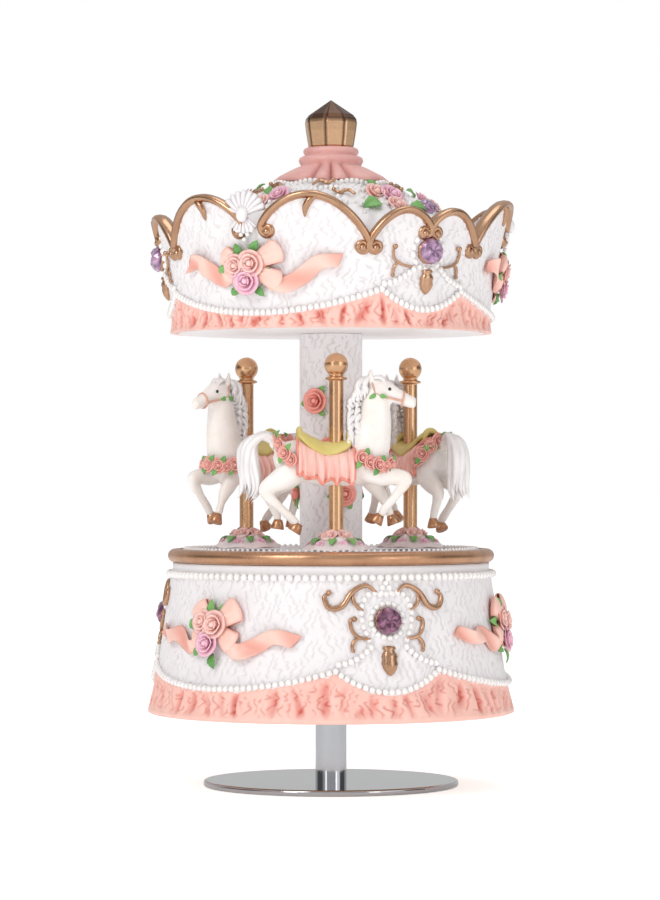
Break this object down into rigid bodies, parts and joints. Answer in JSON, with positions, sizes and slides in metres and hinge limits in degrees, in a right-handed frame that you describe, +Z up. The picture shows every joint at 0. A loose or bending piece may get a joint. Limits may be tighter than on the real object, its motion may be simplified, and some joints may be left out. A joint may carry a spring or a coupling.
{
  "type": "carousel music box",
  "caption": "Wind-up carousel music box: a resin drum, horses on poles and a crowned canopy that turn together on a round plate.",
  "frame": {"origin": "centre of the rest face under the round base plate", "axes": "+Z up along the turning axis, the front with the leading horse faces -Y, +X to the right"},
  "size_m": [0.0944, 0.0944, 0.175],
  "materials": {
    "chrome": "mirror",
    "zinc_screw": "satin",
    "bright_steel": "polished",
    "movement_brass": "satin",
    "white_resin": "satin, crackle relief",
    "coral_resin": "satin, crackle relief",
    "pearl": "pearl lustre",
    "ribbon_coral": "satin",
    "rose_pink": "satin",
    "drum_gem": "faceted stone",
    "gold_paint": "metallic paint",
    "cover_board": "raw board",
    "copper_paint": "metallic paint",
    "canopy_gem": "faceted stone",
    "cap_pink": "satin",
    "horse_resin": "satin",
    "saddle_cream": "satin",
    "pole_gold": "polished",
    "mound_resin": "satin",
    "zinc_casting": "cast",
    "spring_steel": "blued"
  },
  "bodies": {
    "stand": {"base_plate": "chrome", "plate_screw": "zinc_screw", "pillar": "chrome", "winding_arbor": "bright_steel", "spring_wheel": "movement_brass"},
    "carousel": {"drum_shell": "white_resin", "drum_ruffle": "coral_resin", "drum_pearl_swags": "pearl", "drum_bead_ring": "pearl", "drum_bows": "ribbon_coral", "drum_roses": "rose_pink", "drum_gems": "drum_gem", "drum_gem_bezels": "gold_paint", "drum_scrolls": "gold_paint", "bottom_cover": "cover_board", "cover_screws": "zinc_screw", "deck": "white_resin", "deck_rim": "copper_paint", "horse_1": "horse_resin", "horse_2": "horse_resin", "horse_3": "horse_resin", "saddle_1": "saddle_cream", "saddle_2": "saddle_cream", "saddle_3": "saddle_cream", "pole_1": "pole_gold", "pole_2": "pole_gold", "pole_3": "pole_gold", "mound_1": "mound_resin", "mound_2": "mound_resin", "mound_3": "mound_resin", "column": "white_resin", "column_roses": "rose_pink", "canopy_floor": "white_resin", "canopy_crown": "white_resin", "canopy_ruffle": "coral_resin", "canopy_pearls": "pearl", "crown_trim": "gold_paint", "crown_shells": "white_resin", "canopy_bows": "ribbon_coral", "canopy_roses": "rose_pink", "canopy_gems": "canopy_gem", "canopy_scrolls": "gold_paint", "roof_dome": "white_resin", "roof_garland": "pearl", "roof_cap": "cap_pink", "finial": "gold_paint", "bedplate": "zinc_casting", "spring_housing": "movement_brass", "mainspring": "spring_steel", "comb": "bright_steel", "comb_screws": "zinc_screw", "cylinder_brackets": "zinc_casting", "governor_bracket": "zinc_casting", "movement_screws": "zinc_screw"},
    "cylinder": {"music_cylinder": "movement_brass", "cylinder_gear": "movement_brass", "cylinder_shaft": "bright_steel"},
    "idler": {"idler_wheel": "movement_brass"},
    "governor": {"governor": "bright_steel"}
  },
  "joints": [
    {"name": "body_turn", "type": "hinge", "parent": "stand", "child": "carousel", "pos_m": [0, 0, 0], "axis": [0, 0, 1], "continuous": true},
    {"name": "cylinder_turn", "type": "hinge", "parent": "carousel", "child": "cylinder", "pos_m": [0.015, 0, 0.0396], "axis": [1, 0, 0], "continuous": true},
    {"name": "idler_turn", "type": "hinge", "parent": "carousel", "child": "idler", "pos_m": [0.015, 0.01, 0.0396], "axis": [1, 0, 0], "continuous": true},
    {"name": "governor_turn", "type": "hinge", "parent": "carousel", "child": "governor", "pos_m": [0.021, 0.0146, 0.0396], "axis": [0, 0, 1], "continuous": true}
  ],
  "couplings": [
    {"joint": "cylinder_turn", "follows": "body_turn", "ratio": -3},
    {"joint": "idler_turn", "follows": "body_turn", "ratio": 12},
    {"joint": "governor_turn", "follows": "body_turn", "ratio": -144}
  ]
}
